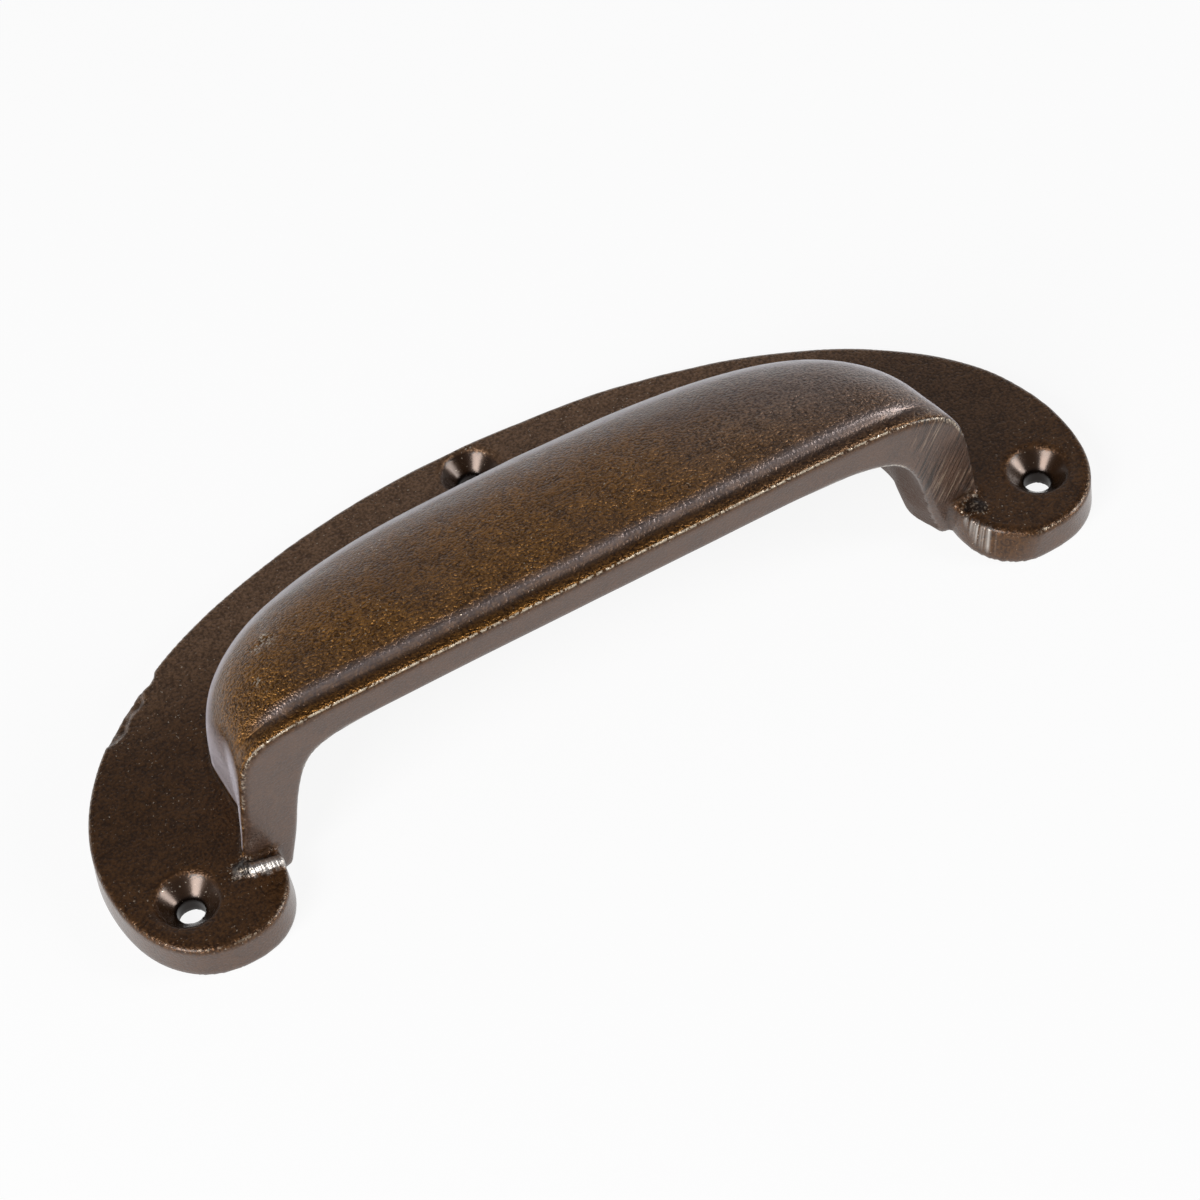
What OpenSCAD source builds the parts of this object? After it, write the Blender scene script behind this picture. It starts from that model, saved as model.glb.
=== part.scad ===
// Cup pull, one sand casting: a crescent back plate with two round ears,
// a hollow hood open to the back and to the front, and three countersunk screw holes.
// X runs along the length, Y from the open mouth to the arched back edge, Z out of the drawer front.
// The origin lies on the mounting plane, midway between the two ear holes.

/* [Back plate] */
// Ear hole to the end of the plate, along the length
end_margin = 8.5; // [7.5:0.1:9.5]
// Ear hole line to the middle of the arched back edge
back_y = 50; // [48:0.5:56]
// Ear hole line to the front of the ears
ear_front = 9.7; // [8:0.1:13]
// Distance of the widest point of the plate behind the ear hole line
wide_y = 6.5; // [5:0.5:9]
// Ear tip to the end of the plate, along the length
ear_tip = 12.3; // [11:0.1:14]
// Width of an ear inside its tip
ear_in = 9.7; // [9:0.1:10.5]
// Thickness of the plate
plate_t = 5.3; // [4.5:0.1:7]
// Draft of the plate edge over its thickness
plate_draft = 0.3; // [0.1:0.05:0.6]
// Rounding of the plate's upper edge
edge_r = 0.5; // [0.2:0.1:1]
// Fullness of the arched back edge, 2 for an ellipse
back_e = 2.06; // [1.9:0.02:2.4]
// Fullness of the ears
ear_e = 2.25; // [2:0.05:2.6]

/* [Hood] */
// Ear hole to the outer side of a leg at the mounting plane
hood_gap = 8.3; // [7:0.1:9]
// Height of the rim above the mounting plane
hood_h = 26.2; // [22:0.1:32]
// Depth of the hood behind its front face
hood_d = 36.3; // [33:0.1:38]
// Ear hole line to the foot of the front face
mouth_y = 1.2; // [0.5:0.1:2.5]
// Lean of the front face to the back, in degrees
face_lean = 1; // [0:0.1:3]
// Inward lean of the legs, in degrees
leg_lean = 8.25; // [5:0.25:11]
// Fullness of the rim's left corner
corner_left = 13; // [8:0.5:18]
// Fullness of the rim's right corner, ground rounder
corner_right = 8; // [6:0.5:18]
// Fullness of the plan towards the ends
plan_e = 3; // [2.6:0.1:4]
// Fullness of the plan towards the back
plan_q = 2.4; // [1.8:0.1:3]
// Fullness of the section from front to back
section_e = 2.64; // [2.2:0.02:3]
// Width of the lip along the rim
lip_w = 3; // [2:0.1:4]
// Width of the cove behind the lip
cove_w = 2.4; // [1.5:0.1:4]
// Rise of the dome above the lip
dome_rise = 1.25; // [0.6:0.05:2]
// Rounding of the rim's outer edge
rim_r = 0.4; // [0.2:0.05:0.8]
// Depth over which the leaning legs turn into upright end walls
turn_d = 8; // [6:0.5:10]

/* [Finger space] */
// Height of the front face above the mouth
rim_h = 5.2; // [4:0.1:7]
// Width of a leg at the mounting plane
leg_w = 6.5; // [5:0.1:8]
// Wall at the back of the hood
back_wall = 5; // [4:0.1:7]
// Lean of the mouth's sides, in degrees
mouth_lean = 16; // [12:0.5:20]
// Fullness of the plan of the finger space
space_e = 3.8; // [3:0.1:4.2]

/* [Screw holes] */
// Distance between the ear holes
hole_span = 133; // [120:1:160]
// Ear hole line to the hole behind the hood
top_hole_y = 44.9; // [44:0.1:46]
// Diameter of the screw holes
hole_d = 3.8; // [3:0.1:4.5]
// Diameter of the countersinks at the plate's face
sink_d = 9; // [7.5:0.1:9.5]

/* [Hidden] */

$fn = 64;
// Points along each half of the back arc and along each quarter of an ear
arc_n = 28;
ear_n = 10;
// Stations along the rim and rows over the dome
arch_n = 80;
dome_n = 16;
// Stations along the mouth and rows over the finger space
mouth_n = 56;
space_n = 12;
// Length by which a cutter passes the face that it cuts
past = 2;
// Half of the overall length
half_len = hole_span / 2 + end_margin;
// Half width of the hood at the mounting plane
hood_w = hole_span / 2 - hood_gap;
// Axis of the ear tips
tip_x = half_len - ear_tip;
// Straight edge of the plate, set back inside the legs
lap_y = mouth_y + leg_w / 2;
// Rear end of the cove
cove_end = lip_w + cove_w;

function smooth(t) = let (u = min(max(t, 0), 1)) u * u * (3 - 2 * u);

// A face list turned over, with its first corner kept
function turned(f) = concat([f[0]], [for (i = [len(f) - 1 : -1 : 1]) f[i]]);

// Radius of a superellipse of unit size in the direction a
function full(a, e) = pow(pow(abs(cos(a)), e) + pow(abs(sin(a)), e), -1 / e);

// Quarter of a superellipse from the direction a0 to a1, without its last point
function quarter(cx, cy, ax, ay, e, a0, a1, n) = [
    for (i = [0 : n - 1])
        let (a = a0 + (a1 - a0) * i / n, r = full(a, e))
            [cx + ax * r * cos(a), cy + ay * r * sin(a)]
];

// Arched back edge grown by g, from the right end to the left
function back_edge(g) = concat(
    quarter(0, wide_y, half_len + g, back_y - wide_y + g, back_e, 0, 90, arc_n),
    quarter(0, wide_y, half_len + g, back_y - wide_y + g, back_e, 90, 180, arc_n),
    [[-half_len - g, wide_y]]
);

// Right ear's edge grown by g, from the end of the back edge to the straight edge
function ear_edge(g) = concat(
    quarter(tip_x, wide_y, ear_tip + g, wide_y + ear_front + g, ear_e, 0, -90, ear_n),
    quarter(tip_x, mouth_y, ear_in + g, mouth_y + ear_front + g, ear_e, -90, -180, ear_n),
    [[tip_x - ear_in - g, mouth_y], [tip_x - ear_in - g, lap_y]]
);

// Whole edge of the plate, counterclockwise from its right end
function plate_edge(g) = let (e = ear_edge(g), n = len(e))
    concat(
        back_edge(g),
        [for (i = [1 : n - 1]) [-e[i][0], e[i][1]]],
        [for (i = [n - 1 : -1 : 1]) e[i]]
    );

// Growth and height of each ring of the plate's edge: the draft, then the rounded upper edge
plate_rings = concat(
    [[plate_draft, 0]],
    [for (a = [0, 30, 60, 90]) [edge_r * (cos(a) - 1), plate_t - edge_r + edge_r * sin(a)]]
);

module plate_blank() {
    rings = len(plate_rings);
    m = len(plate_edge(0));
    ear_m = 2 * ear_n + 2;
    left_end = 2 * arc_n;
    hub = rings * m;
    top = hub - m;
    points = concat(
        [for (r = plate_rings, p = plate_edge(r[0])) [p[0], p[1], r[1]]],
        [for (z = [0, plate_t], s = [1, -1]) [s * tip_x, lap_y, z]]
    );
    left = [for (i = [0 : ear_m - 1]) left_end + i];
    right = [for (i = [0 : ear_m - 1]) (left_end + ear_m + i) % m];
    sides = [
        for (k = [0 : rings - 2], i = [0 : m - 1])
            let (a = k * m + i, b = k * m + (i + 1) % m)
                each [[a, a + m, b + m], [a, b + m, b]]
    ];
    // Faces of the underside, seen from above; h is the first of its two hubs and o its first edge point
    function caps(h, o) = [
        concat(
            [for (i = [arc_n : left_end]) o + i],
            [h + 1, o + left[ear_m - 1], o + right[0], h],
            [for (i = [0 : arc_n - 1]) o + i]
        ),
        concat([h + 1], [for (i = left) o + i]),
        concat([h], [for (i = right) o + i])
    ];
    polyhedron(points, concat(sides, caps(hub, 0), [for (f = caps(hub + 2, top)) turned(f)]));
}

// Closed loft over an arch: grid holds the stations from right to left, each from front to back,
// and the ends are the points at which the arch meets its base
module arch_loft(grid, right, left) {
    n = len(grid);
    rows = len(grid[0]);
    e = len(right);
    r0 = n * rows;
    l0 = r0 + e;
    mid = l0 + e;
    points = concat([for (s = grid, p = s) p], right, left, [[0, right[0][1], right[0][2]]]);
    z = (n - 1) * rows;
    skin = [
        for (i = [0 : n - 2], k = [0 : rows - 2])
            let (a = i * rows + k, b = a + rows)
                each [[a, b, b + 1], [a, b + 1, a + 1]]
    ];
    ends = [
        for (k = [0 : rows - 2])
            let (c = min(k, e - 1))
                each [[r0 + c, k, k + 1], [l0 + c, z + k + 1, z + k]]
    ];
    steps = [
        for (c = [1 : 1 : e - 1])
            each [[r0 + c - 1, c, r0 + c], [l0 + c - 1, l0 + c, z + c]]
    ];
    front = concat([mid, l0], [for (i = [n - 1 : -1 : 0]) i * rows], [r0]);
    base = concat(
        [mid],
        [for (c = [0 : e - 1]) r0 + c],
        [for (i = [0 : n - 1]) (i + 1) * rows - 1],
        [for (c = [e - 1 : -1 : 0]) l0 + c]
    );
    polyhedron(points, concat(skin, ends, steps, [front, base]));
}

// Point of an arch of half width w and height h in the direction a
function arch(a, w, h, lean, e) = let (r = full(a, e), z = h * r * sin(a))
    [(w - tan(lean) * z) * r * cos(a), z];

// Fullness of the corners of the rim and of the mouth in the direction a
function corner(a) = a < 90 ? corner_right : corner_left;

// Depth of the plan at x, for the half width w, the depth d and the fullness e at the ends, q at the back
function plan(x, w, d, e, q) = d * pow(max(0, 1 - pow(min(1, abs(x) / w), e)), 1 / q);

// Share of the height left at the share u of the depth
function fall(u) = pow(max(0, 1 - pow(min(u, 1), section_e)), 1 / section_e);

// Rows of a station where the plan is d deep, each as the distance behind
// the front face and the share of the height: rounded edge, lip and cove, then the dome
function skin_rows(d) = let (
        k = min(1, d / (2 * cove_end)),
        near = concat(
            [for (c = [0, rim_r * 0.3, rim_r, lip_w * 0.6]) c * k],
            [for (i = [0 : 4]) (lip_w + cove_w * i / 4) * k]
        ),
        u = k * cove_end / d,
        a0 = atan2(u, fall(u))
    )
    concat(
        [for (y = near) [y, fall(y / d)]],
        [
            for (i = [1 : dome_n - 1])
                let (a = a0 + (90 - a0) * i / dome_n, r = full(a, section_e))
                    [d * r * sin(a), r * cos(a)]
        ],
        [[d, 0]]
    );

// Outer skin under the rim point p at the distance y behind the front face and the share s of the height
function skin_point(p, y, s) = let (
        ease = max(0, 1 - y / rim_r),
        size = 1 - rim_r / hood_h * ease * ease,
        z = p[1] * s * size * (1 + dome_rise / hood_h * smooth((y - lip_w) / cove_w)),
        turn = smooth(y / turn_d),
        lean = tan(leg_lean),
        upright = (hood_w - lean * (p[1] + (hood_h - p[1]) * turn)) / (hood_w - lean * p[1])
    )
    [p[0] * size * upright, mouth_y + tan(face_lean) * z + y, z];

module hood_blank() {
    grid = [
        for (i = [1 : arch_n - 1])
            let (
                a = 180 * i / arch_n,
                p = arch(a, hood_w, hood_h, leg_lean, corner(a)),
                d = plan(p[0], hood_w, hood_d, plan_e, plan_q)
            )
            [for (r = skin_rows(d)) skin_point(p, r[0], r[1])]
    ];
    arch_loft(grid, [[hood_w, mouth_y, 0]], [[-hood_w, mouth_y, 0]]);
}

// Finger space under the hood, carried past the front face and the mounting plane
module finger_space() {
    w = hood_w - leg_w + tan(mouth_lean) * past;
    h = hood_h - rim_h + past;
    depth = hood_d - back_wall;
    out = -past;
    grid = [
        for (i = [1 : mouth_n - 1])
            let (
                a = 180 * i / mouth_n,
                p = arch(a, w, h, mouth_lean, corner(a)),
                d = plan(p[0], w, depth, space_e, space_e)
            )
                concat(
                    [[p[0], mouth_y + out, p[1] + out]],
                    [
                        for (k = [0 : space_n])
                            let (u = sin(90 * k / space_n))
                                [p[0], mouth_y + d * u, p[1] * fall(u) + out]
                    ]
                )
    ];
    function ends(s) = [for (y = [out, 0]) [s * w, mouth_y + y, out]];
    arch_loft(grid, ends(1), ends(-1));
}

// Countersunk hole through the plate
module screw_hole(x, y) {
    sink = (sink_d - hole_d) / 2;
    translate([x, y, -past])
        cylinder(h = plate_t + past, d = hole_d);
    translate([x, y, plate_t - sink])
        cylinder(h = sink + past, d1 = hole_d, d2 = sink_d + 2 * past);
}

module cup_pull() {
    color([0.27, 0.19, 0.12])
        difference() {
            union() {
                plate_blank();
                hood_blank();
            }
            finger_space();
            for (s = [-1, 1])
                screw_hole(s * hole_span / 2, 0);
            screw_hole(0, top_hole_y);
        }
}

cup_pull();
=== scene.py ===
"""Cup pull: one sand casting under a dark bronze lacquer, lying on a white studio floor."""
import math
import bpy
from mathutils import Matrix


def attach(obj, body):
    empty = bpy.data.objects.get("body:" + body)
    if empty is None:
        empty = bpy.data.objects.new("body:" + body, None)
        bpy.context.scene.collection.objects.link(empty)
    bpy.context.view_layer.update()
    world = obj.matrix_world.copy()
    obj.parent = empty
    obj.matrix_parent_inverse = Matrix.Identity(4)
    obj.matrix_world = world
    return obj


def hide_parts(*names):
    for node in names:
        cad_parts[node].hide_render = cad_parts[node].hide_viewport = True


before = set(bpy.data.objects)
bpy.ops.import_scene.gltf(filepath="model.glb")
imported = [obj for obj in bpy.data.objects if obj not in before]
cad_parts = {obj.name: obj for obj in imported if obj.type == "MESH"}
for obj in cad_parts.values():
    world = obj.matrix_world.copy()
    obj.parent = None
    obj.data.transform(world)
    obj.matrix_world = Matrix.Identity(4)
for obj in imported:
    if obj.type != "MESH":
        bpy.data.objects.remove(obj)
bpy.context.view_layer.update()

from types import SimpleNamespace

import bpy
import numpy as np
from mathutils import Quaternion, Vector
from mathutils.bvhtree import BVHTree

# Sizes of the casting in mm, in the part's frame: x to the right, y to the back, z up from the underside

# Back plate: a crescent with two round ears
HALF_LEN, BACK_Y, PLATE_T = 75.0, 50.0, 5.3
WIDE_Y = 6.5  # where the plate is longest
EAR_FRONT = 9.7  # how far the ears reach in front of y = 0
EAR_TIP, EAR_IN = 12.3, 9.7  # from an ear's front out to its tip, and in to its inner side
EAR_X = HALF_LEN - EAR_TIP
PLATE_DRAFT = 0.3  # how far the foot of the plate's side stands out past its top
BACK_E, EAR_E = 2.06, 2.25  # exponents of the superellipses

# Hood: an arch in front, rounded back over the plate
HOOD_W, HOOD_H, HOOD_D, MOUTH_Y = 58.2, 26.2, 36.3, 1.2
FACE_LEAN, LEG_LEAN = math.tan(math.radians(1)), math.tan(math.radians(8.25))
CORNER_LEFT, CORNER_RIGHT = 13.0, 8.0  # exponents of the arch
PLAN_E, PLAN_Q, SECTION_E = 3.0, 2.4, 2.64
LIP_W, COVE_W = 1.9, 1.3  # lip along the front face, and the cove behind it
DOME_RISE, RISE_FADE = 1.15, 12.0  # of the dome over the lip, and the length of its fade at the ends
TURN_D = 8.0  # depth over which the leaning legs turn upright

# Finger space under the hood
RIM_H, LEG_W, BACK_WALL = 5.2, 6.5, 5.0
MOUTH_LEAN, SPACE_E = math.tan(math.radians(16)), 3.8
SPACE_DROP = 2.0  # how far it reaches below the plate
LAP_Y = MOUTH_Y + LEG_W / 2  # how far the ears run in under the legs

# Screw holes
HOLES = ((-66.5, 0.0), (66.5, 0.0), (0.0, 44.9))
HOLE_R, SINK_R, SINK_TOP = 1.9, 4.5, 2.0

# Rounding where surfaces meet
PLATE_ROUND, FACE_ROUND, FOOT_ROUND, MOUTH_ROUND, HOLE_ROUND, BASE_ROUND = 0.7, 0.8, 0.8, 0.7, 0.4, 0.5

# Unevenness of the cast skin: height, size and shift of its waves, and how strong they are on three faces
WAVES = ((0.09, 11, 0.0), (0.04, 4.3, 5.5))
SIDE_WAVE, TOP_WAVE, FACE_WAVE = 1.3, 0.7, 0.5

# Flakes off the plate's left back edge: x, y, height over the plate and radius, drawn out along the edge
CHIPS = ((-55.7, 36.8, -0.4, 1.4), (-59.0, 34.2, 0.9, 2.1), (-62.6, 31.3, 0.9, 2.1))
CHIP_WAY, CHIP_STRETCH, CHIP_ROUND = np.array((-0.795, -0.606, 0.0)), 0.45, 0.15
CHIP_WAVE = (0.25, 1.3, 2.5)

# Ridge of metal left at the foot of the left leg
BEAD = ((-58.3, 0.3), (-57.0, -0.4), (-55.6, -0.8), (-54.0, -1.1))
BEAD_Z, BEAD_R, BEAD_ROUND = PLATE_T - 0.1, 0.95, 0.5
BEAD_WAVE = (0.06, 1.6, 4.5)

# Right ear's inner side: a swelling, and flats ground on it, by their directions in degrees
SWELL_X, SWELL_Y, SWELL_OUT, SWELL_SPREAD = 56.3, -5.8, 1.4, 20
FLATS, FLAT_OUT, FLAT_TILT, FLAT_ROUND = (197, 208, 219, 230), 1.1, 1.5, 1.0
FLAT_MIN_X, FLAT_MAX_Y = 45, 3

# Bulge of the legs' inner sides near the plate
BULGE_OUT, BULGE_Y, BULGE_D = 1.8, 7, 4.5
BULGE_FADE_Z, BULGE_FADE_X = (14, 4), (38, 46)

# Rough spots: x, y, z, radius and depth, with a ragged border as a share of the radius
ROUGH = (
    (55.4, -0.8, 5.4, 1.8, 0.6),
    (-58.4, 0.4, 5.4, 1.6, 0.4),
    (-43.7, 16.9, 25.2, 2.0, 0.16),
    (-47.4, 10.6, 26.5, 0.9, 0.16),
)
ROUGH_BORDER, BORDER_WAVE, ROUGH_WAVE = 1.3, (0.5, 1.5, 3.5), (1.0, 1.1, 9.5)

# Fineness: cells of the mesh, lofts as columns and rows, and the grid of distances to the outline
CELL, BLOCK = 0.54, 4
FIELD_LOW, FIELD_HIGH = np.array((-77.0, -12.0, -1.5)), np.array((77.0, 52.5, 29.5))
HOOD_GRID, SPACE_GRID = (320, 40), (240, 30)
LIP_TURN, LIP_ROWS = 18, 60
EDGE_STEP = 0.25
EDGE_X, EDGE_Y = np.arange(-80, 80.01, EDGE_STEP), np.arange(-14, 55.01, EDGE_STEP)
FAR = 9.0

LATTICE = np.random.default_rng(7).uniform(-1, 1, (32, 32, 32))


# Form of the casting: distance fields in mm, negative inside


def smooth(t):
    u = np.clip(t, 0, 1)
    return u * u * (3 - 2 * u)


def ease(value, start, end):
    """Smooth step from 0 at the start to 1 at the end."""
    return smooth((value - start) / (end - start))


def soft_min(a, b, k):
    h = np.clip(0.5 + 0.5 * (b - a) / k, 0, 1)
    return b + (a - b) * h - k * h * (1 - h)


def soft_max(a, b, k):
    return -soft_min(-a, -b, k)


def noise(points, size, shift):
    """Smooth noise from -1 to 1 with features of about the given size."""
    p = points / size + shift
    i = np.floor(p).astype(int)
    f = smooth(p - i)
    out = 0.0
    for step in np.ndindex(2, 2, 2):
        w = np.prod(np.where(step, f, 1 - f), axis=1)
        j = (i + step) % len(LATTICE)
        out = out + w * LATTICE[j[:, 0], j[:, 1], j[:, 2]]
    return out


def ripple(points, *waves):
    return sum(height * noise(points, size, shift) for height, size, shift in waves)


def full(a, e):
    """Radius of a superellipse of size 1 in direction a."""
    return (np.abs(np.cos(a)) ** e + np.abs(np.sin(a)) ** e) ** (-1 / e)


def quarter(cx, cy, ax, ay, e, a0, a1, n):
    a = np.radians(a0 + (a1 - a0) * np.arange(n) / n)
    r = full(a, e)
    return np.column_stack([cx + ax * r * np.cos(a), cy + ay * r * np.sin(a)])


def plate_outline():
    back = quarter(0, WIDE_Y, HALF_LEN, BACK_Y - WIDE_Y, BACK_E, 0, 90, 80)
    outer = quarter(EAR_X, WIDE_Y, EAR_TIP, WIDE_Y + EAR_FRONT, EAR_E, -90, 0, 30)
    inner = quarter(EAR_X, MOUTH_Y, EAR_IN, MOUTH_Y + EAR_FRONT, EAR_E, -180, -90, 30)
    right = np.vstack([[(EAR_X - EAR_IN, LAP_Y)], inner, outer, back, [(0, BACK_Y)]])
    left = right[-2::-1] * (-1, 1)
    return np.vstack([right, left])


def outline_distance(outline, xs, ys):
    gx, gy = np.meshgrid(xs, ys, indexing="ij")
    best = np.full(gx.shape, np.inf)
    inside = np.zeros(gx.shape, bool)
    for (ax, ay), (bx, by) in zip(outline, np.roll(outline, -1, axis=0)):
        dx, dy = bx - ax, by - ay
        t = np.clip(((gx - ax) * dx + (gy - ay) * dy) / (dx * dx + dy * dy), 0, 1)
        best = np.minimum(best, (gx - ax - t * dx) ** 2 + (gy - ay - t * dy) ** 2)
        if dy:
            inside ^= ((ay > gy) != (by > gy)) & (gx < dx * (gy - ay) / dy + ax)
    return np.where(inside, -1, 1) * np.sqrt(best)


def arch(columns, w, h, lean):
    """Points of a leaning arch from right to left, squarer at its left corner."""
    a = np.pi * np.arange(1, columns)[:, None] / columns
    r = full(a, np.where(a < np.pi / 2, CORNER_RIGHT, CORNER_LEFT))
    z = h * r * np.sin(a)
    return (w - lean * z) * r * np.cos(a), z


def plan(x, w, d, e, q):
    """Depth of a rounded plan at x."""
    return d * np.maximum(0, 1 - np.minimum(1, np.abs(x) / w) ** e) ** (1 / q)


def section(rows):
    """Shares of depth and of height along a section, close together at the lip and even over the dome."""
    lip = np.linspace(0, LIP_TURN, LIP_ROWS)[:-1]
    a = np.radians(np.concatenate([lip, np.linspace(LIP_TURN, 90, rows)]))
    r = full(a, SECTION_E)
    return r * np.sin(a), r * np.cos(a)


def loft_tree(x, y, z, run_on=4):
    """Tree over a loft from right to left and front to back, run on past the front and the underside."""
    grid = np.stack(np.broadcast_arrays(x, y, z), -1)
    grid = np.concatenate([grid[:, :1] - (0, run_on, 0), grid, grid[:, -1:] - (0, 0, run_on)], 1)
    columns, rows = grid.shape[:2]
    faces = [
        (i * rows + k, i * rows + k + 1, (i + 1) * rows + k + 1, (i + 1) * rows + k)
        for i in range(columns - 1)
        for k in range(rows - 1)
    ]
    return BVHTree.FromPolygons(grid.reshape(-1, 3).tolist(), faces)


def hood_tree():
    columns, rows = HOOD_GRID
    px, pz = arch(columns, HOOD_W, HOOD_H, LEG_LEAN)
    u, s = section(rows)
    y = plan(px, HOOD_W, HOOD_D, PLAN_E, PLAN_Q) * u
    top_w = HOOD_W - LEG_LEAN * HOOD_H
    rise = DOME_RISE * ease(np.abs(px), top_w, top_w - RISE_FADE)
    z = pz * s * (1 + rise / HOOD_H * ease(y, LIP_W, LIP_W + COVE_W))
    turned = pz + (HOOD_H - pz) * smooth(y / TURN_D)
    upright = (HOOD_W - LEG_LEAN * turned) / (HOOD_W - LEG_LEAN * pz)
    return loft_tree(px * upright, MOUTH_Y + FACE_LEAN * z + y, z)


def space_tree():
    columns, rows = SPACE_GRID
    w, h = HOOD_W - LEG_W + MOUTH_LEAN * SPACE_DROP, HOOD_H - RIM_H + SPACE_DROP
    px, pz = arch(columns, w, h, MOUTH_LEAN)
    u, s = section(rows)
    y = plan(px, w, HOOD_D - BACK_WALL, SPACE_E, SPACE_E) * u
    return loft_tree(px, MOUTH_Y + y, pz * s - SPACE_DROP)


def tree_distance(tree, points):
    out = np.empty(len(points))
    find = tree.find_nearest
    for i, p in enumerate(points.tolist()):
        near, normal, _, dist = find(p)
        side = (p[0] - near.x) * normal.x + (p[1] - near.y) * normal.y + (p[2] - near.z) * normal.z
        out[i] = dist if side > 0 else -dist
    return out


EDGE = outline_distance(plate_outline(), EDGE_X, EDGE_Y)
HOOD, SPACE = hood_tree(), space_tree()


def edge_distance(x, y):
    """Distance to the plate's outline, read between the points of its grid."""
    u, v = (x - EDGE_X[0]) / EDGE_STEP, (y - EDGE_Y[0]) / EDGE_STEP
    i = np.clip(u.astype(int), 0, len(EDGE_X) - 2)
    j = np.clip(v.astype(int), 0, len(EDGE_Y) - 2)
    u, v = u - i, v - j
    low = EDGE[i, j] * (1 - v) + EDGE[i, j + 1] * v
    return low * (1 - u) + (EDGE[i + 1, j] * (1 - v) + EDGE[i + 1, j + 1] * v) * u


def behind_face(y, z):
    """Depth behind the leaning front face."""
    return y - MOUTH_Y - FACE_LEAN * z


def flats(x, y, z):
    """Distance to the flats ground on the right ear, each a chord cut off its rounded side."""
    out = np.full(len(x), -FAR)
    q = EAR_E / (EAR_E - 1)
    for a in np.radians(FLATS):
        c, s = math.cos(a), math.sin(a)
        reach = (abs(EAR_IN * c) ** q + abs((MOUTH_Y + EAR_FRONT) * s) ** q) ** (1 / q)
        out = np.maximum(out, (x - EAR_X) * c + (y - MOUTH_Y) * s - reach)
    out = out - FLAT_OUT + FLAT_TILT * z / PLATE_T
    return np.where((x > FLAT_MIN_X) & (y < FLAT_MAX_Y), out, -FAR)


def chips(p):
    """Distance to the flakes broken off the plate's edge, negative inside a flake."""
    out = np.full(len(p), FAR)
    for x, y, up, r in CHIPS:
        q = p - (x, y, PLATE_T + up)
        q = q - CHIP_STRETCH * (q @ CHIP_WAY)[:, None] * CHIP_WAY
        out = np.minimum(out, np.linalg.norm(q, axis=1) - r)
    return out


def bead(p):
    """Distance to the ridge at the foot of the left leg."""
    out = np.full(len(p), FAR)
    for (ax, ay), (bx, by) in zip(BEAD, BEAD[1:]):
        a, ab = np.array((ax, ay, BEAD_Z)), np.array((bx - ax, by - ay, 0))
        t = np.clip((p - a) @ ab / (ab @ ab), 0, 1)
        out = np.minimum(out, np.linalg.norm(p - a - t[:, None] * ab, axis=1))
    return out - BEAD_R


def rough(p):
    """Depth of roughness around the rough spots, which have ragged borders."""
    out = np.zeros(len(p))
    ragged = ROUGH_BORDER + ripple(p, BORDER_WAVE)
    for x, y, z, r, depth in ROUGH:
        out = np.maximum(out, depth * smooth(ragged - np.linalg.norm(p - (x, y, z), axis=1) / r))
    return out


def plate(p, wave):
    x, y, z = p.T
    swell = SWELL_OUT * np.exp(-((x - SWELL_X) ** 2 + (y - SWELL_Y) ** 2) / SWELL_SPREAD)
    side = edge_distance(x, y) - PLATE_DRAFT * (1 - z / PLATE_T) - swell
    side = soft_max(side, flats(x, y, z), FLAT_ROUND)
    out = soft_max(side + SIDE_WAVE * wave, z - PLATE_T + TOP_WAVE * wave, PLATE_ROUND)
    return soft_max(out, -chips(p) + ripple(p, CHIP_WAVE), CHIP_ROUND)


def hood(p, wave):
    front = -behind_face(p[:, 1], p[:, 2])
    return soft_max(tree_distance(HOOD, p) + wave, front + FACE_WAVE * wave, FACE_ROUND)


def finger_space(p, wave):
    x, y, z = p.T
    bulge = BULGE_OUT * np.exp(-(((y - BULGE_Y) / BULGE_D) ** 2))
    bulge = bulge * ease(z, *BULGE_FADE_Z) * ease(np.abs(x), *BULGE_FADE_X)
    return tree_distance(SPACE, p) + bulge - wave


def screw_hole(p, hx, hy):
    x, y, z = p.T
    r = np.hypot(x - hx, y - hy)
    cone = np.maximum((r - SINK_R + PLATE_T - z) * math.sqrt(0.5), z - PLATE_T - SINK_TOP)
    return np.minimum(np.maximum(r - HOLE_R, z - PLATE_T), cone)


def casting(p):
    """Distance to the casting's surface."""
    wave = ripple(p, *WAVES)
    d = soft_min(plate(p, wave), hood(p, wave), FOOT_ROUND)
    d = soft_min(d, bead(p) + ripple(p, BEAD_WAVE), BEAD_ROUND)
    d = d + rough(p) * ripple(p, ROUGH_WAVE)
    d = soft_max(d, -finger_space(p, wave), MOUTH_ROUND)
    for hx, hy in HOLES:
        d = soft_max(d, -screw_hole(p, hx, hy), HOLE_ROUND)
    return soft_max(d, -p[:, 2], BASE_ROUND)


# Mesh from the field


def window(start, size):
    return tuple(slice(a, a + n) for a, n in zip(start, size))


def sample_field(field):
    """Values on a grid of cells, in full only near the surface."""
    count = np.ceil((FIELD_HIGH - FIELD_LOW) / (CELL * BLOCK)).astype(int)
    corners = np.indices(count + 1).reshape(3, -1).T
    values = field(FIELD_LOW + corners * CELL * BLOCK).reshape(count + 1)
    near = np.zeros(count, bool)
    reach = CELL * BLOCK * 1.1
    for c in np.ndindex(2, 2, 2):
        near |= np.abs(values[window(c, count)]) < reach
    for axis in range(3):
        values = np.repeat(values, BLOCK, axis)
        near = np.repeat(near, BLOCK, axis)
    values = values[window((0, 0, 0), count * BLOCK + 1)].copy()
    wanted = np.zeros(values.shape, bool)
    for c in np.ndindex(2, 2, 2):
        wanted[window(c, near.shape)] |= near
    values[wanted] = field(FIELD_LOW + np.argwhere(wanted) * CELL)
    return values


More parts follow.
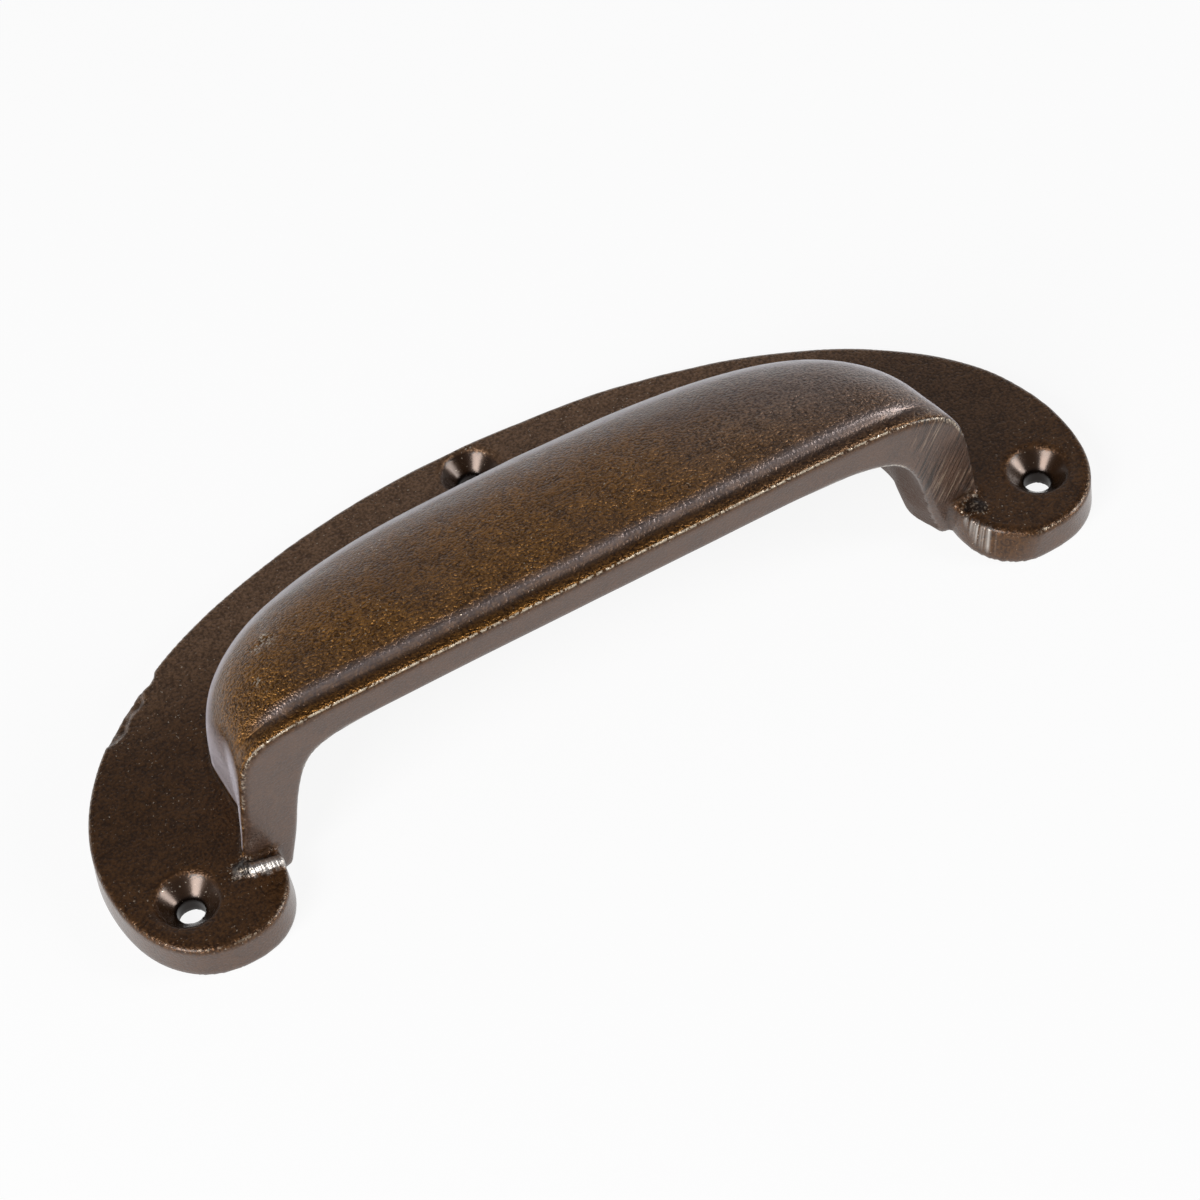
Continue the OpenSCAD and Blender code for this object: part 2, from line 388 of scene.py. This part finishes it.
def surface(values):
    """Surface net: a point in each cell that the surface crosses, a face on each grid edge that does."""
    inside = values < 0
    shape = np.array(values.shape) - 1
    total = np.zeros((*shape, 3))
    hits = np.zeros(shape)
    for axis in range(3):
        for c in np.ndindex(2, 2):
            start = np.insert(c, axis, 0)
            step = np.eye(3, dtype=int)[axis]
            a, b = window(start, shape), window(start + step, shape)
            cross = inside[a] != inside[b]
            t = np.where(cross, values[a] / np.where(cross, values[a] - values[b], 1), 0)
            hits += cross
            total += cross[..., None] * (start + t[..., None] * step)
    active = hits > 0
    cells = np.argwhere(active)
    verts = FIELD_LOW + CELL * (cells + total[active] / hits[active][:, None])
    number = np.full(shape, -1)
    number[active] = np.arange(len(cells))
    faces = []
    for axis in range(3):
        u, v = (axis + 1) % 3, (axis + 2) % 3
        first = np.moveaxis(inside, axis, 0)
        cross = np.moveaxis(first[:-1] != first[1:], 0, axis)
        at = np.argwhere(cross)
        at = at[(at[:, u] > 0) & (at[:, v] > 0) & (at[:, u] < shape[u]) & (at[:, v] < shape[v])]
        eu, ev = np.eye(3, dtype=int)[[u, v]]
        quad = np.column_stack([number[tuple((at - o).T)] for o in (eu + ev, ev, 0 * eu, eu)])
        faces.append(np.where(inside[tuple(at.T)][:, None], quad, quad[:, ::-1]))
    return verts, np.vstack(faces)


def face_edges(faces):
    return np.vstack([faces[:, [i, (i + 1) % 4]] for i in range(4)])


def sum_at(points, values, count):
    """Sums of the values that fall on each point."""
    return np.column_stack([np.bincount(points, v, count) for v in values.T])


def point_normals(verts, faces):
    a, b = verts[faces[:, 2]] - verts[faces[:, 0]], verts[faces[:, 3]] - verts[faces[:, 1]]
    face = np.cross(a, b)
    out = sum(sum_at(faces[:, i], face, len(verts)) for i in range(4))
    return out / np.maximum(np.linalg.norm(out, axis=1), 1e-12)[:, None]


def neighbour_mean(verts, faces):
    edges = face_edges(faces)
    total = sum_at(edges[:, 0], verts[edges[:, 1]], len(verts))
    return total / np.bincount(edges[:, 0], minlength=len(verts))[:, None]


def relax(verts, faces, field, rounds):
    """Evens out the points, then sets them back on the surface."""
    for _ in range(rounds):
        verts = 0.5 * verts + 0.5 * neighbour_mean(verts, faces)
        verts -= field(verts)[:, None] * point_normals(verts, faces)
    return verts


def bend(verts, faces):
    """Bend of the surface at each point, positive on an edge and negative in a crease."""
    return np.sum((verts - neighbour_mean(verts, faces)) * point_normals(verts, faces), 1) / CELL


def paint_layers(mesh, verts, faces):
    """Stores at the mesh's points where each look of the lacquer lies, painted light and shade among
    them, as shares from 0 to 1.
    """
    x, y, z = verts.T
    _, ny, nz = point_normals(verts, faces).T
    behind = behind_face(y, z)
    skin = (np.abs(tree_distance(HOOD, verts)) < 0.5) & (z > PLATE_T + 0.4) & (y > MOUTH_Y + 0.7)
    # Gold is partly rubbed lacquer and partly painted light: strongest at the lit lower left, fading
    # where the dome faces back and to the right
    gold = np.interp(x, (-54, -20, 0, 25, 50), (1.0, 0.82, 0.78, 0.65, 0.3))
    gold = gold * (1 - 0.8 * smooth(ny * 1.5 - 0.1))
    lip = smooth(1.5 - behind / LIP_W)
    top = (z < PLATE_T + 0.3) * ease(nz, 0.6, 0.9)
    # Painted light: the plate grows lighter towards its back and its right
    lit_back_share = np.maximum(ease(y, 22, 40), 0.35 * ease(x, 0, 40) * ease(y, 3, 13))
    turn = np.arctan2(y - MOUTH_Y, x - EAR_X)
    ground = ease(np.abs(flats(x, y, z)), 0.25, 0) * ease(turn, -2.33, -2.48)
    ground = ground * ease(z, 0.6, 2.1) * (z < PLATE_T)
    to_hole = np.min([np.hypot(x - hx, y - hy) for hx, hy in HOLES], 0)
    layers = {
        # Edges, positive, and creases, negative
        "edge": np.clip(bend(verts, faces) * 4, -1, 1),
        # Skin of the hood, its rubbed gold that is partly painted light, its painted grey sheen, its
        # painted shade at the ends, its painted sheen, and the lines along its rim: wear, a painted cove
        # reflection and a painted lip shade
        "hood": skin,
        "dome": skin * np.maximum(gold, 0.65 * lip),
        "grey_sheen_paint": skin * ease(x, 5, 50) * (0.4 + 0.6 * ease(behind, 4, 13)),
        "dim": skin * ease(nz, 0.9, 0.4) * ease(np.abs(x), 40, 50),
        "sheen_paint_share": skin * ease(x, -52, -22),
        "rim": ease(z, HOOD_H - 7, HOOD_H - 3) * ease(behind, 6, 4) * ease(nz, 0.1, 0.4),
        "cove_paint_share": skin * ease(behind, 6, 4) * ease(x, -53, -47) * ease(x, 56, 46),
        # Steep sides, the inside of the hood and the painted light on the back and right of the plate
        "steep": ease(nz, 0.3, 0),
        "inside": (np.abs(tree_distance(SPACE, verts)) < 2.2) & (behind > 0.5),
        "back": top * lit_back_share,
        # Countersinks and bores, whose tints are painted shade in these recesses
        "sink": ease(to_hole, SINK_R + 0.3, SINK_R - 0.3) * ease(z, PLATE_T, PLATE_T - 0.6) * (z > 0.3),
        "bore_shade": ease(to_hole, HOLE_R + 0.5, HOLE_R + 0.1) * (z > 0.1),
        # Flaws: bare metal, the angle around the ear for its streaks, file marks, flakes, rough spots
        "bare": np.maximum(ease(bead(verts), 0.45, -0.05), 0.7 * ground),
        "turn": np.where(x > 0, turn, x / EAR_IN),
        "filed": ease(x, 45, 49) * ease(y, 2.3, 1.9) * ease(z, 5.5, 7.5) * (ny < -0.6),
        "chip": smooth(1 - np.abs(chips(verts)) * 3),
        "coarse": rough(verts) * 2,
    }
    for name, share in layers.items():
        layer = mesh.attributes.new(name, "FLOAT", "POINT")
        layer.data.foreach_set("value", np.ascontiguousarray(share, np.float32))


# Materials


class Nodes:
    """Shorthand for building a node tree."""

    def __init__(self, tree):
        self.tree = tree
        tree.nodes.clear()

    def add(self, kind, settings=None, **inputs):
        node = self.tree.nodes.new(kind)
        for k, v in (settings or {}).items():
            setattr(node, k, v)
        for k, v in inputs.items():
            socket = node.inputs[int(k[1:]) if k[0] == "_" else k.replace("_", " ")]
            if isinstance(v, bpy.types.NodeSocket):
                self.tree.links.new(v, socket)
            else:
                socket.default_value = v
        return node

    def ramp(self, value, low, high, start=0.0, end=1.0):
        limits = {"From_Min": low, "From_Max": high, "To_Min": start, "To_Max": end}
        return self.add("ShaderNodeMapRange", {"clamp": True}, Value=value, **limits).outputs[0]

    def math(self, operation, a, b=0.0):
        return self.add("ShaderNodeMath", {"operation": operation}, _0=a, _1=b).outputs[0]

    def times(self, a, *others):
        for b in others:
            a = self.math("MULTIPLY", a, b)
        return a

    def most(self, a, *others):
        for b in others:
            a = self.math("MAXIMUM", a, b)
        return a

    def plus(self, a, b):
        return self.math("ADD", a, b)

    def without(self, a):
        return self.math("SUBTRACT", 1.0, a)

    def mix(self, factor, a, b):
        return self.add("ShaderNodeMix", {"data_type": "RGBA"}, _0=factor, _6=a, _7=b).outputs[2]

    def noise(self, where, scale, detail=3.0, rough=0.55):
        size = {"Scale": scale, "Detail": detail, "Roughness": rough}
        return self.add("ShaderNodeTexNoise", None, Vector=where, **size).outputs[0]

    def along(self, where, way):
        return self.add("ShaderNodeVectorMath", {"operation": "DOT_PRODUCT"}, _0=where, _1=way).outputs[1]

    def layer(self, name):
        return self.add("ShaderNodeAttribute", {"attribute_name": name}).outputs["Fac"]


def new_material(name):
    m = bpy.data.materials.new(name)
    m.use_nodes = True
    return m, Nodes(m.node_tree)


def tint(red, green, blue):
    return (red, green, blue, 1)


# Tints of the lacquer, dark and light where it is mottled
LACQUER = tint(0.042, 0.017, 0.005), tint(0.115, 0.050, 0.015)
# Painted light: the next tints lighten the back and right of the plate
BACK_PAINTED_LIGHT = tint(0.095, 0.047, 0.02), tint(0.25, 0.14, 0.075)
# Rubbed gold, partly painted light where the dome is lit
RUBBED_GOLD_AND_LIGHT = tint(0.095, 0.039, 0.007), tint(0.38, 0.18, 0.046)
# Painted sheen: a grey tint over the dome's right part
ASHEN_SHEEN_PAINT = tint(0.10, 0.078, 0.070), tint(0.36, 0.30, 0.28)
STEEP_SIDE = tint(0.070, 0.045, 0.036), tint(0.165, 0.098, 0.070)
FILE_MARK = tint(0.03, 0.018, 0.012), tint(0.24, 0.17, 0.12)

# Plain tints
# Painted shade on the dome's steep ends
DIM_END = tint(0.045, 0.019, 0.005)
# Painted reflection: a grey line in the cove
COVE_PAINTED_REFLECTION = tint(0.24, 0.205, 0.20)
LIP_SHADE = tint(0.03, 0.014, 0.005)
WORN_EDGE = tint(0.72, 0.62, 0.48)
BARE_METAL = tint(0.72, 0.67, 0.62)
# Light specks, and painted glints in the rough spots
SPECK_AND_GLINT = tint(0.52, 0.43, 0.33)
# Painted shade in the countersinks
SINK_SHADE_BROWN = tint(0.05, 0.021, 0.006)
# Painted shade in the bores
BORE_SHADE_BLACK = tint(0.012, 0.007, 0.005)
INSIDE_BROWN = tint(0.07, 0.042, 0.03)
PIT = tint(0.015, 0.009, 0.006)
# Painted shade in creases
CREASE_SHADE = tint(0.02, 0.011, 0.007)
# Painted sheen: a lavender tint where the hood is seen slanting
SHEEN_PAINT = tint(0.25, 0.23, 0.27)
# Painted reflection: a pale tint where the hood is seen edge-on
GRAZING_REFLECTION_PAINT = tint(0.59, 0.55, 0.60)

COAT_ROUGHNESS = 0.24


def lacquer_patterns(n):
    """Noises and layers that several parts of the lacquer share."""
    where = n.add("ShaderNodeTexCoord").outputs["Object"]
    around = n.add("ShaderNodeCombineXYZ", None, X=n.times(n.layer("turn"), EAR_IN / 1000)).outputs[0]
    across, down = n.along(where, (0.87, 0.0, -0.49)), n.along(where, (0.03, 0.0, 0.052))
    slant = n.add("ShaderNodeCombineXYZ", None, X=across, Y=down).outputs[0]
    blotch, grain = n.noise(where, 420, 3), n.noise(where, 2400, 1, 0.6)
    return SimpleNamespace(
        cloud=n.noise(where, 70, 4),
        blotch=blotch,
        grain=grain,
        mottle=n.plus(n.times(grain, 0.75), n.times(blotch, 0.25)),
        speck=n.noise(where, 2600, 1),
        streak=n.noise(around, 1100, 2),
        scratch=n.noise(slant, 1700, 2),
        depth=n.along(where, (0, 1000, -1000 * FACE_LEAN)),
        **{name: n.layer(name) for name in ("edge", "steep", "bare", "filed", "sink", "hood", "coarse")},
    )


def rim_line(n, t, name, behind, half):
    """Soft line along the rim at a depth behind the front face."""
    off = n.math("ABSOLUTE", n.math("SUBTRACT", t.depth, MOUTH_Y + behind))
    return n.times(n.ramp(off, half, 0.0), n.layer(name))


def lacquer_color(n, t):
    """Tints of the lacquer from the plain coat up to its edges and cove, with painted light on the
    plate's back and the dome and painted shade at the dome's ends and lip.
    """

    def mottled(tints):
        return n.mix(n.ramp(t.mottle, 0.36, 0.62), *tints)

    # Painted light lightens the plate towards its back and right
    color = n.mix(n.times(n.layer("back"), 0.95), mottled(LACQUER), mottled(BACK_PAINTED_LIGHT))
    # Rubbed gold on the dome, partly painted light
    color = n.mix(t.gold, color, mottled(RUBBED_GOLD_AND_LIGHT))
    # Painted shade darkens the dome's steep ends
    color = n.mix(n.times(n.layer("dim"), 0.35), color, DIM_END)
    # Painted sheen greys the dome towards its right
    color = n.mix(n.times(n.layer("grey_sheen_paint"), 0.55), color, mottled(ASHEN_SHEEN_PAINT))
    # Painted reflection: a grey line in the cove; painted shade: a dark line along the lip
    color = n.mix(n.times(rim_line(n, t, "cove_paint_share", 3.0, 1.4), 0.8), color, COVE_PAINTED_REFLECTION)
    color = n.mix(n.times(rim_line(n, t, "cove_paint_share", 1.9, 0.4), 0.15), color, LIP_SHADE)
    color = n.mix(n.times(t.steep, 0.7), color, n.mix(t.blotch, *STEEP_SIDE))
    color = n.mix(t.worn, color, WORN_EDGE)
    return n.mix(t.bared, color, BARE_METAL)


def flaw_color(n, t, color):
    """Tints of holes with painted shade, file marks, rough spots, light specks with painted glints, and
    painted shade in creases over the lacquer's color.
    """
    # Painted shade darkens the countersinks and bores
    color = n.mix(t.sink, color, SINK_SHADE_BROWN)
    color = n.mix(n.layer("bore_shade"), color, BORE_SHADE_BLACK)
    color = n.mix(n.times(n.layer("inside"), 0.7), color, INSIDE_BROWN)
    dark_mark, light_mark = FILE_MARK
    color = n.mix(n.times(t.filed, n.ramp(t.scratch, 0.60, 0.66)), color, light_mark)
    color = n.mix(n.times(t.filed, n.ramp(t.scratch, 0.44, 0.38)), color, dark_mark)
    pit = n.ramp(n.times(t.coarse, t.blotch), 0.22, 0.42)
    color = n.mix(n.times(pit, 0.85), color, PIT)
    # Light specks on the flat lacquer, and painted glints on the rough spots
    light_speck = n.times(n.ramp(t.speck, 0.71, 0.75), n.without(t.steep), n.ramp(t.cloud, 0.42, 0.54))
    painted_glint = n.times(n.ramp(t.coarse, 0.05, 0.25), n.ramp(t.speck, 0.54, 0.60))
    painted_glint = n.times(painted_glint, n.without(n.times(n.ramp(t.coarse, 0.3, 0.6), 0.75)))
    color = n.mix(n.most(light_speck, painted_glint), color, SPECK_AND_GLINT)
    # Painted shade darkens the creases
    return n.mix(n.times(n.ramp(t.edge, -0.1, -0.6), 0.6), color, CREASE_SHADE)


def lacquer_relief(n, t):
    """Normal of the lacquer's fine grain, faint at the rim, with streaks and file marks."""
    height = n.plus(n.times(t.grain, 1.2), t.blotch)
    height = n.times(height, n.plus(0.4, n.times(t.hood, 0.6)))
    height = n.times(height, n.without(n.times(rim_line(n, t, "rim", 2.6, 1.8), 0.9)))
    height = n.times(height, n.without(n.most(n.times(t.bare, 0.6), t.sink)))
    height = n.plus(height, n.times(t.bare, t.streak, 2.0))
    height = n.plus(height, n.times(t.filed, t.scratch, 2.0))
    return n.add("ShaderNodeBump", None, Strength=1.0, Distance=0.0004, Height=height).outputs[0]


def bronze_lacquer():
    m, n = new_material("bronze_lacquer")
    t = lacquer_patterns(n)
    t.gold = n.times(n.layer("dome"), n.ramp(t.cloud, 0.1, 0.55))
    worn_edge = n.times(n.ramp(t.edge, 0.55, 1.0), n.ramp(t.grain, 0.42, 0.58))
    worn_rim = n.times(n.ramp(rim_line(n, t, "rim", 0.25, 0.3), 0.5, 0.9), n.ramp(t.mottle, 0.42, 0.52))
    t.worn = n.times(n.most(worn_edge, worn_rim), n.without(n.layer("chip")))
    t.bared = n.times(t.bare, n.most(n.ramp(t.streak, 0.44, 0.58), n.ramp(t.bare, 0.75, 0.95)))

    facing = n.add("ShaderNodeLayerWeight", None, Blend=0.5).outputs["Facing"]
    # Painted reflection: a pale lavender tint mixed into the colour where the hood is seen edge-on,
    # standing in for the bright surround, with less metal under it
    grazing_reflection = n.times(n.ramp(facing, 0.73, 0.90), 0.85, t.hood)
    # Painted sheen: a lavender tint mixed into the colour as the hood turns away from view
    sheen = n.times(n.math("POWER", facing, 3.0), 0.5, n.layer("sheen_paint_share"))
    color = flaw_color(n, t, lacquer_color(n, t))
    color = n.mix(grazing_reflection, n.mix(sheen, color, SHEEN_PAINT), GRAZING_REFLECTION_PAINT)

    metal = n.times(n.without(grazing_reflection), n.plus(0.65, n.times(n.most(t.gold, t.bared, t.worn), 0.35)))
    roughness = n.plus(n.ramp(t.blotch, 0.3, 0.7, 0.34, 0.46), n.times(t.steep, 0.14))
    roughness = n.math("SUBTRACT", roughness, n.times(t.worn, 0.15))
    roughness = n.math("SUBTRACT", roughness, n.times(t.sink, 0.14))
    coat = n.plus(0.4, n.times(n.most(t.steep, t.sink), 0.5))
    coat = n.times(coat, n.without(n.most(t.gold, n.layer("inside"), n.layer("bore_shade"))))

    bsdf = n.add(
        "ShaderNodeBsdfPrincipled",
        None,
        Base_Color=color,
        Metallic=metal,
        Roughness=roughness,
        Normal=lacquer_relief(n, t),
        Coat_Weight=coat,
        Coat_Roughness=COAT_ROUGHNESS,
    )
    n.add("ShaderNodeOutputMaterial", None, Surface=bsdf.outputs[0])
    return m


def white_floor():
    m, n = new_material("white_floor")
    path = n.add("ShaderNodeLightPath").outputs
    seen = n.most(path["Is Camera Ray"], path["Is Glossy Ray"], path["Is Transmission Ray"])
    matt = n.add("ShaderNodeBsdfDiffuse", None, Color=tint(0.9, 0.9, 0.9)).outputs[0]
    white = n.add("ShaderNodeEmission", None, Color=tint(1, 1, 1), Strength=1.0).outputs[0]
    both = n.add("ShaderNodeMixShader", None, _0=n.times(seen, 0.9), _1=matt, _2=white)
    n.add("ShaderNodeOutputMaterial", None, Surface=both.outputs[0])
    return m


# The casting, in metres


def cup_pull_casting():
    verts, faces = surface(sample_field(casting))
    verts = relax(verts, faces, casting, 2)
    mesh = bpy.data.meshes.new("cup_pull_casting")
    mesh.from_pydata((verts / 1000).tolist(), [], faces.tolist())
    mesh.shade_smooth()
    paint_layers(mesh, verts, faces)
    mesh.materials.append(bronze_lacquer())
    piece = bpy.data.objects.new("cup_pull_casting", mesh)
    bpy.context.scene.collection.objects.link(piece)
    return piece


piece = cup_pull_casting()
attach(piece, "root")
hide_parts("cup_pull")


# Studio: white floor, bright surround near the horizon, dim overhead, and softboxes in metres and watts


def studio_sky():
    world = bpy.data.worlds.new("studio")
    world.use_nodes = True
    n = Nodes(world.node_tree)
    way = n.add("ShaderNodeTexCoord").outputs["Generated"]
    up = n.add("ShaderNodeSeparateXYZ", None, Vector=way).outputs[2]
    sky = n.mix(n.ramp(up, 0.0, 0.3), tint(1.0, 1.0, 1.0), tint(0.10, 0.10, 0.11))
    light = n.add("ShaderNodeBackground", None, Color=sky, Strength=1.0).outputs[0]
    n.add("ShaderNodeOutputWorld", None, Surface=light)
    return world


def softbox(name, place, aim, size, power):
    light = bpy.data.lights.new(name, "AREA")
    light.shape = "RECTANGLE"
    light.size, light.size_y = size
    light.energy = power
    lamp = bpy.data.objects.new(name, light)
    lamp.location = place
    lamp.rotation_euler = (Vector(aim) - Vector(place)).to_track_quat("-Z", "Y").to_euler()
    bpy.context.scene.collection.objects.link(lamp)


bpy.ops.mesh.primitive_plane_add(size=8)
floor = bpy.context.object
floor.name = "floor"
floor.data.materials.append(white_floor())

bpy.context.scene.world = studio_sky()
softbox("left_box", (-0.75, -0.35, 0.55), (0, 0.01, 0.01), (0.5, 0.6), 9.0)
softbox("right_box", (0.85, -0.45, 0.45), (0, 0.01, 0.01), (0.4, 0.6), 6.0)
softbox("back_box", (0.30, 0.75, 0.72), (0, 0.02, 0.02), (0.6, 0.35), 0.25)

# Camera at the photograph's place: where it stands, where it looks and how it is tilted
CAMERA_AT = (-0.12283, -0.25995, 0.36033)
CAMERA_SIGHT = Vector((0.27108, 0.58772, -0.76230))
CAMERA_ROLL = Quaternion((0, 0, 1), math.radians(-7.11))
camera = bpy.data.objects.new("camera", bpy.data.cameras.new("camera"))
camera.data.lens = 101.75
camera.data.sensor_width = 36.0
camera.location = CAMERA_AT
camera.rotation_mode = "QUATERNION"
camera.rotation_quaternion = CAMERA_SIGHT.to_track_quat("-Z", "Y") @ CAMERA_ROLL
bpy.context.scene.collection.objects.link(camera)
bpy.context.scene.camera = camera
bpy.context.scene.view_settings.view_transform = "Standard"

bpy.context.view_layer.update()
